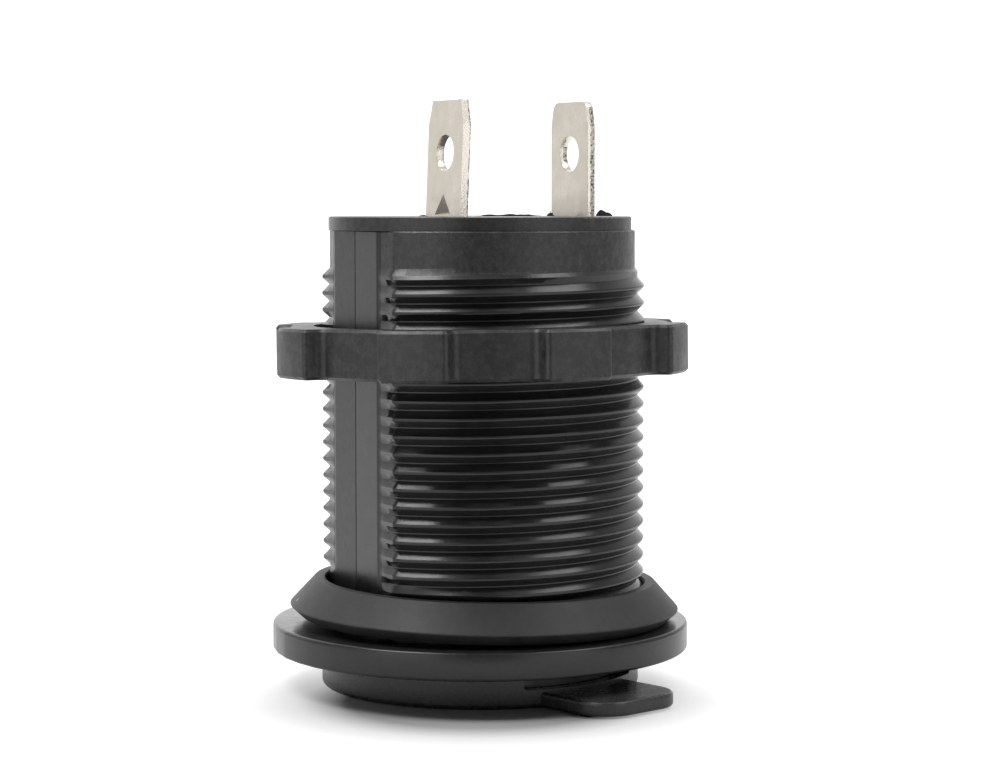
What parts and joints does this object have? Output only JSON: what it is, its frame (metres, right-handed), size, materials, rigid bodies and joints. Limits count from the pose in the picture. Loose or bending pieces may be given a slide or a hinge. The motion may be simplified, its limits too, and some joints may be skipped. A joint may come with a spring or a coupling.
{
  "type": "panel-mount 12 v power socket",
  "caption": "Panel-mount 12 V power socket: threaded D-flat barrel, lobed ring nut, cone gasket, hinged weather cap with finger tab and blade terminals.",
  "frame": {"origin": "on the barrel's axis at the closed cap's outer face, which is the face that the part stands on", "axes": "+Z along the barrel from the cap to the blade terminals, -Y towards the cap's finger tab, X along the cap's hinge"},
  "size_m": [0.0372, 0.0398, 0.0521],
  "materials": {
    "body_plastic": "moulded satin black, slightly mottled",
    "cover_plastic": "moulded satin black",
    "nut_plastic": "moulded satin black",
    "gasket_rubber": "matt black rubber",
    "cap_plastic": "moulded satin black",
    "seal_rubber": "matt dark grey rubber",
    "pin_steel": "plain steel",
    "sleeve_metal": "nickel plated",
    "contact_metal": "nickel plated",
    "blade_metal": "nickel plated, sheared edges",
    "insulator": "brown moulded insulator"
  },
  "bodies": {
    "socket": {"socket_body": "body_plastic", "rear_cover": "cover_plastic", "panel_gasket": "gasket_rubber", "ground_sleeve": "sleeve_metal", "contact_bush": "insulator", "contact_washer": "insulator", "centre_contact": "contact_metal", "centre_terminal": "blade_metal", "ground_terminal": "blade_metal", "ground_rivet": "contact_metal", "hinge_pin": "pin_steel"},
    "nut": {"ring_nut": "nut_plastic"},
    "cap": {"cap": "cap_plastic", "cap_seal": "seal_rubber"}
  },
  "joints": [
    {"name": "cap_hinge", "type": "hinge", "parent": "socket", "child": "cap", "pos_m": [0, 0.0165, 0.0043], "axis": [1, 0, 0], "range_deg": [0, 95]},
    {"name": "nut_travel", "type": "slide", "parent": "socket", "child": "nut", "axis": [0, 0, 1], "range_m": [-0.0176, 0.009]}
  ]
}
